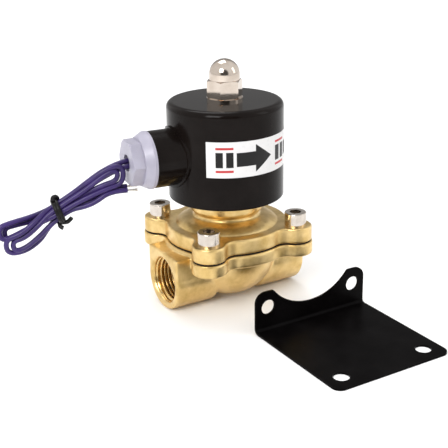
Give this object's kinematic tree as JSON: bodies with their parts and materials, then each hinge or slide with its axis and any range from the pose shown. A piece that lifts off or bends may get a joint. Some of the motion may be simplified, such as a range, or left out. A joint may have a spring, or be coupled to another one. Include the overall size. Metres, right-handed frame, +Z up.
{
  "type": "solenoid valve",
  "caption": "Brass two-way solenoid valve with threaded ports, a round black coil with a conduit hub and tied leads, and a loose angle bracket.",
  "frame": {"origin": "the point below the stem axis on the surface that the valve stands on", "axes": "+X along the ports from inlet to outlet, +Y to the back, away from the loose bracket, +Z up along the stem"},
  "size_m": [0.1479, 0.1358, 0.1122],
  "materials": {
    "forged_brass": "satin, as forged and shot-blasted",
    "turned_brass": "turned",
    "black_rubber": "matt",
    "nickel_screw": "satin nickel",
    "nickel_nut": "polished nickel",
    "stainless": "drawn and turned",
    "magnet_steel": "turned",
    "copper": "enamelled copper",
    "black_paint": "satin gloss",
    "yoke_zinc": "zinc plated",
    "bobbin_plastic": "moulded",
    "resin": "cast",
    "white_nylon": "slightly translucent",
    "label_film": "printed film",
    "bracket_coating": "satin powder coat",
    "lead_insulation": "soft sheen",
    "tie_plastic": "soft sheen",
    "tinned_copper": "tinned"
  },
  "bodies": {
    "base": {"valve_body": "forged_brass", "bonnet": "forged_brass", "diaphragm_rim": "black_rubber", "bonnet_screws": "nickel_screw", "armature_tube": "stainless", "tube_o_ring": "black_rubber", "tube_retainer": "stainless", "fixed_core": "magnet_steel", "shading_ring": "copper", "nut_washer": "nickel_nut", "cap_nut": "nickel_nut"},
    "plunger_group": {"plunger": "magnet_steel", "plunger_seal": "black_rubber", "plunger_spring": "stainless"},
    "diaphragm_group": {"diaphragm_pad": "black_rubber", "diaphragm_disc": "stainless", "diaphragm_spool": "turned_brass", "diaphragm_nut": "turned_brass", "diaphragm_web": "black_rubber"},
    "coil_group": {"coil_can": "black_paint", "conduit_spigot": "black_paint", "weld_ring": "black_paint", "cable_gland": "white_nylon", "yoke_plate": "yoke_zinc", "flux_sleeve": "yoke_zinc", "bobbin": "bobbin_plastic", "winding": "copper", "potting": "resin", "spigot_potting": "resin", "coil_label": "label_film", "lead_tube_a": "lead_insulation", "lead_tube_b": "lead_insulation", "lead_end_a": "lead_insulation", "lead_end_b": "lead_insulation", "lead_hank": "lead_insulation", "twist_tie": "tie_plastic", "lead_tips": "tinned_copper"},
    "bracket_group": {"mounting_bracket": "bracket_coating"}
  },
  "joints": [
    {"name": "plunger_lift", "type": "slide", "parent": "base", "child": "plunger_group", "axis": [0, 0, 1], "range_m": [0, 0.004], "stiffness_N_per_m": 300, "springref_m": -0.006, "deforming": ["plunger_spring"]},
    {"name": "diaphragm_lift", "type": "slide", "parent": "base", "child": "diaphragm_group", "axis": [0, 0, 1], "range_m": [0, 0.003], "deforming": ["diaphragm_web"]},
    {"name": "coil_swivel", "type": "hinge", "parent": "base", "child": "coil_group", "pos_m": [0, 0, 0.0498], "axis": [0, 0, 1], "range_deg": [-180, 180]},
    {"name": "bracket_lift", "type": "slide", "parent": "base", "child": "bracket_group", "axis": [0, 0, 1], "range_m": [0, 0.06]}
  ],
  "couplings": [
    {"joint": "diaphragm_lift", "follows": "plunger_lift", "ratio": 0.75}
  ]
}
